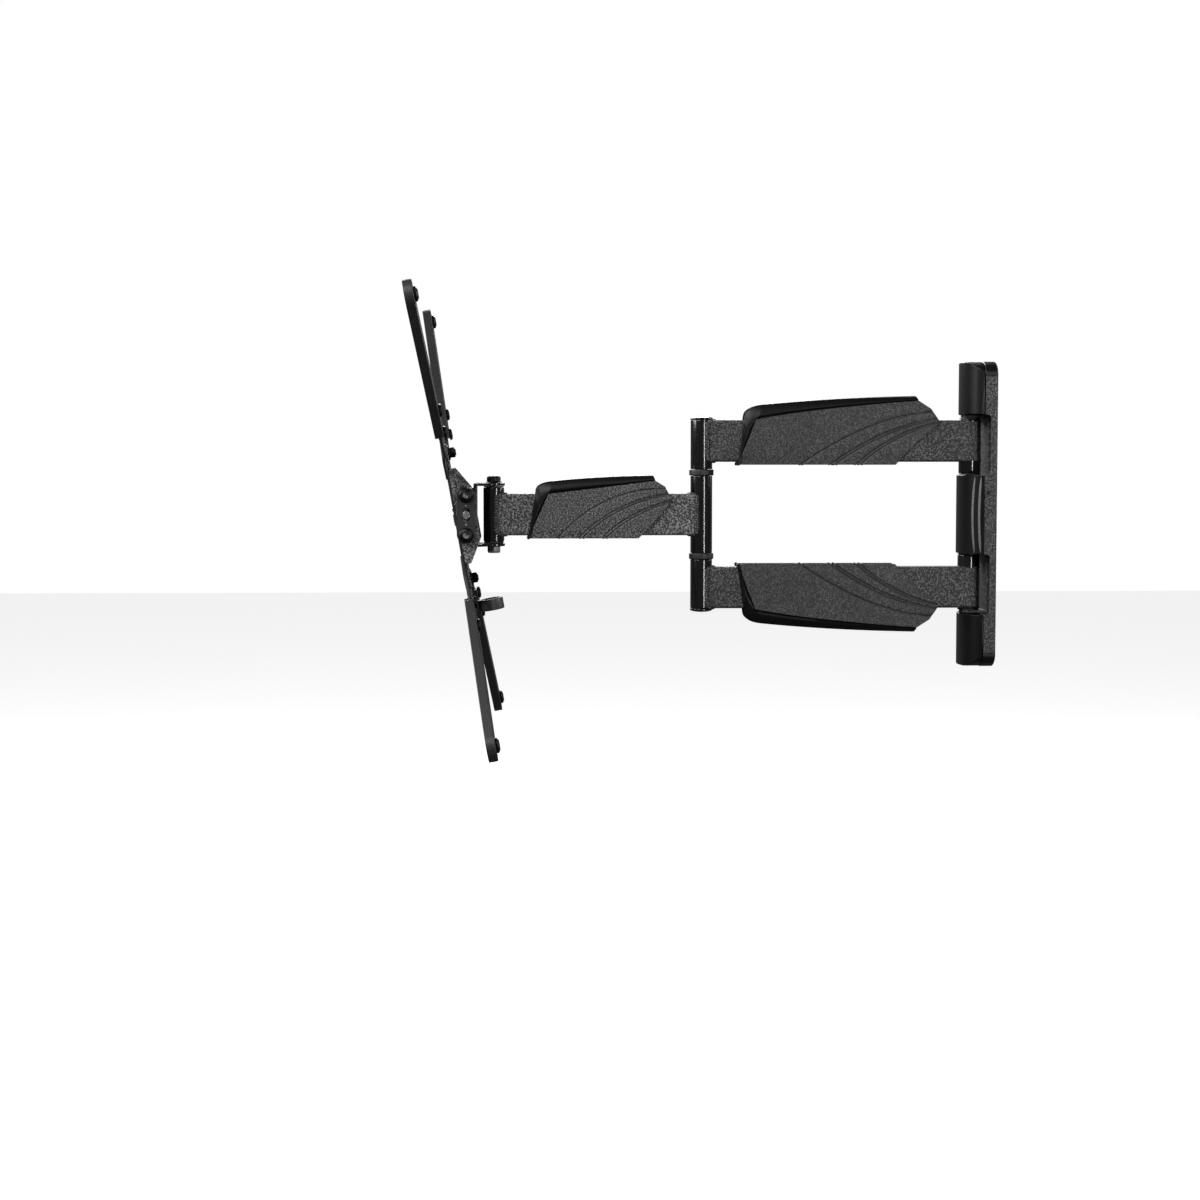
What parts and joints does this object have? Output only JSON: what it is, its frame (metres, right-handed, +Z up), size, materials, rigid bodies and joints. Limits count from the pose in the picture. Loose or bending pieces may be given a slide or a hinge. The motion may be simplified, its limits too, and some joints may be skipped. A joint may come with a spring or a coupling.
{
  "type": "full motion tv wall mount",
  "caption": "Wall plate with a folding cable-covered arm, swivel head, tilt and level adjustment, and a spider plate with extension arms for a television.",
  "frame": {"origin": "centre of the wall plate's back face, on the wall", "axes": "+Z up, +Y into the wall, so the mount stands out along -Y, +X along the wall to the right of a person facing the wall"},
  "size_m": [0.428, 0.5566, 0.4229],
  "materials": {
    "powder_coat": "fine textured powder coat",
    "gloss_paint": "smooth semi-gloss paint",
    "satin_cover": "smooth satin moulded plastic",
    "textured_cover": "stippled moulded plastic",
    "black_nylon": "moulded nylon",
    "black_zinc": "black zinc plate",
    "bright_zinc": "bright zinc plate"
  },
  "bodies": {
    "wall_plate": {"wall_plate": "powder_coat", "upper_hinge_bracket": "powder_coat", "lower_hinge_bracket": "powder_coat", "upper_end_cover": "satin_cover", "lower_end_cover": "satin_cover", "centre_cover": "satin_cover", "upper_pivot_bolt": "black_zinc", "lower_pivot_bolt": "black_zinc"},
    "rear_arms": {"upper_rear_tube": "powder_coat", "lower_rear_tube": "powder_coat", "upper_wall_sleeve": "powder_coat", "lower_wall_sleeve": "powder_coat", "upper_inner_bushing": "black_nylon", "lower_inner_bushing": "black_nylon", "upper_outer_bushing": "black_nylon", "lower_outer_bushing": "black_nylon", "upper_elbow_sleeve": "gloss_paint", "lower_elbow_sleeve": "gloss_paint", "elbow_spindle": "black_zinc", "upper_elbow_cap": "gloss_paint", "lower_elbow_cap": "gloss_paint", "upper_rear_cover": "textured_cover", "lower_rear_cover": "textured_cover"},
    "front_arm": {"front_tube": "powder_coat", "front_elbow_sleeve": "gloss_paint", "upper_elbow_collar": "black_nylon", "lower_elbow_collar": "black_nylon", "front_cover": "textured_cover", "head_sleeve": "powder_coat", "upper_head_bushing": "black_nylon", "lower_head_bushing": "black_nylon"},
    "swivel_head": {"head_clevis": "gloss_paint", "swivel_bolt": "black_zinc", "swivel_nut": "bright_zinc", "tilt_rivet": "bright_zinc", "right_tilt_bar": "black_nylon", "left_tilt_bar": "black_nylon", "upper_right_tilt_bolt": "black_zinc", "lower_right_tilt_bolt": "black_zinc", "upper_left_tilt_bolt": "black_zinc", "lower_left_tilt_bolt": "black_zinc"},
    "tilt_bracket": {"tilt_bracket": "powder_coat", "level_rivet": "bright_zinc"},
    "tv_plate": {"centre_plate": "powder_coat", "upper_level_bolt": "black_zinc", "lower_level_bolt": "black_zinc", "cable_ring": "black_nylon", "upper_right_extension": "powder_coat", "upper_right_spacer": "black_nylon", "upper_right_tv_screw": "black_zinc", "upper_left_extension": "powder_coat", "upper_left_spacer": "black_nylon", "upper_left_tv_screw": "black_zinc", "lower_right_extension": "powder_coat", "lower_right_spacer": "black_nylon", "lower_right_tv_screw": "black_zinc", "lower_left_extension": "powder_coat", "lower_left_spacer": "black_nylon", "lower_left_tv_screw": "black_zinc"}
  },
  "joints": [
    {"name": "wall_swing", "type": "hinge", "parent": "wall_plate", "child": "rear_arms", "pos_m": [0, -0.02, 0], "axis": [0, 0, 1], "range_deg": [-90, 90]},
    {"name": "elbow_fold", "type": "hinge", "parent": "rear_arms", "child": "front_arm", "pos_m": [0, -0.28, 0], "axis": [0, 0, 1], "range_deg": [-120, 120]},
    {"name": "head_swivel", "type": "hinge", "parent": "front_arm", "child": "swivel_head", "pos_m": [0, -0.48, 0], "axis": [0, 0, 1], "range_deg": [-60, 60]},
    {"name": "tilt", "type": "hinge", "parent": "swivel_head", "child": "tilt_bracket", "pos_m": [0, -0.506, 0], "axis": [1, 0, 0], "range_deg": [-15, 5]},
    {"name": "level", "type": "hinge", "parent": "tilt_bracket", "child": "tv_plate", "pos_m": [0, -0.506, 0], "axis": [0, -0.9848, -0.1736], "range_deg": [-3, 3]}
  ]
}
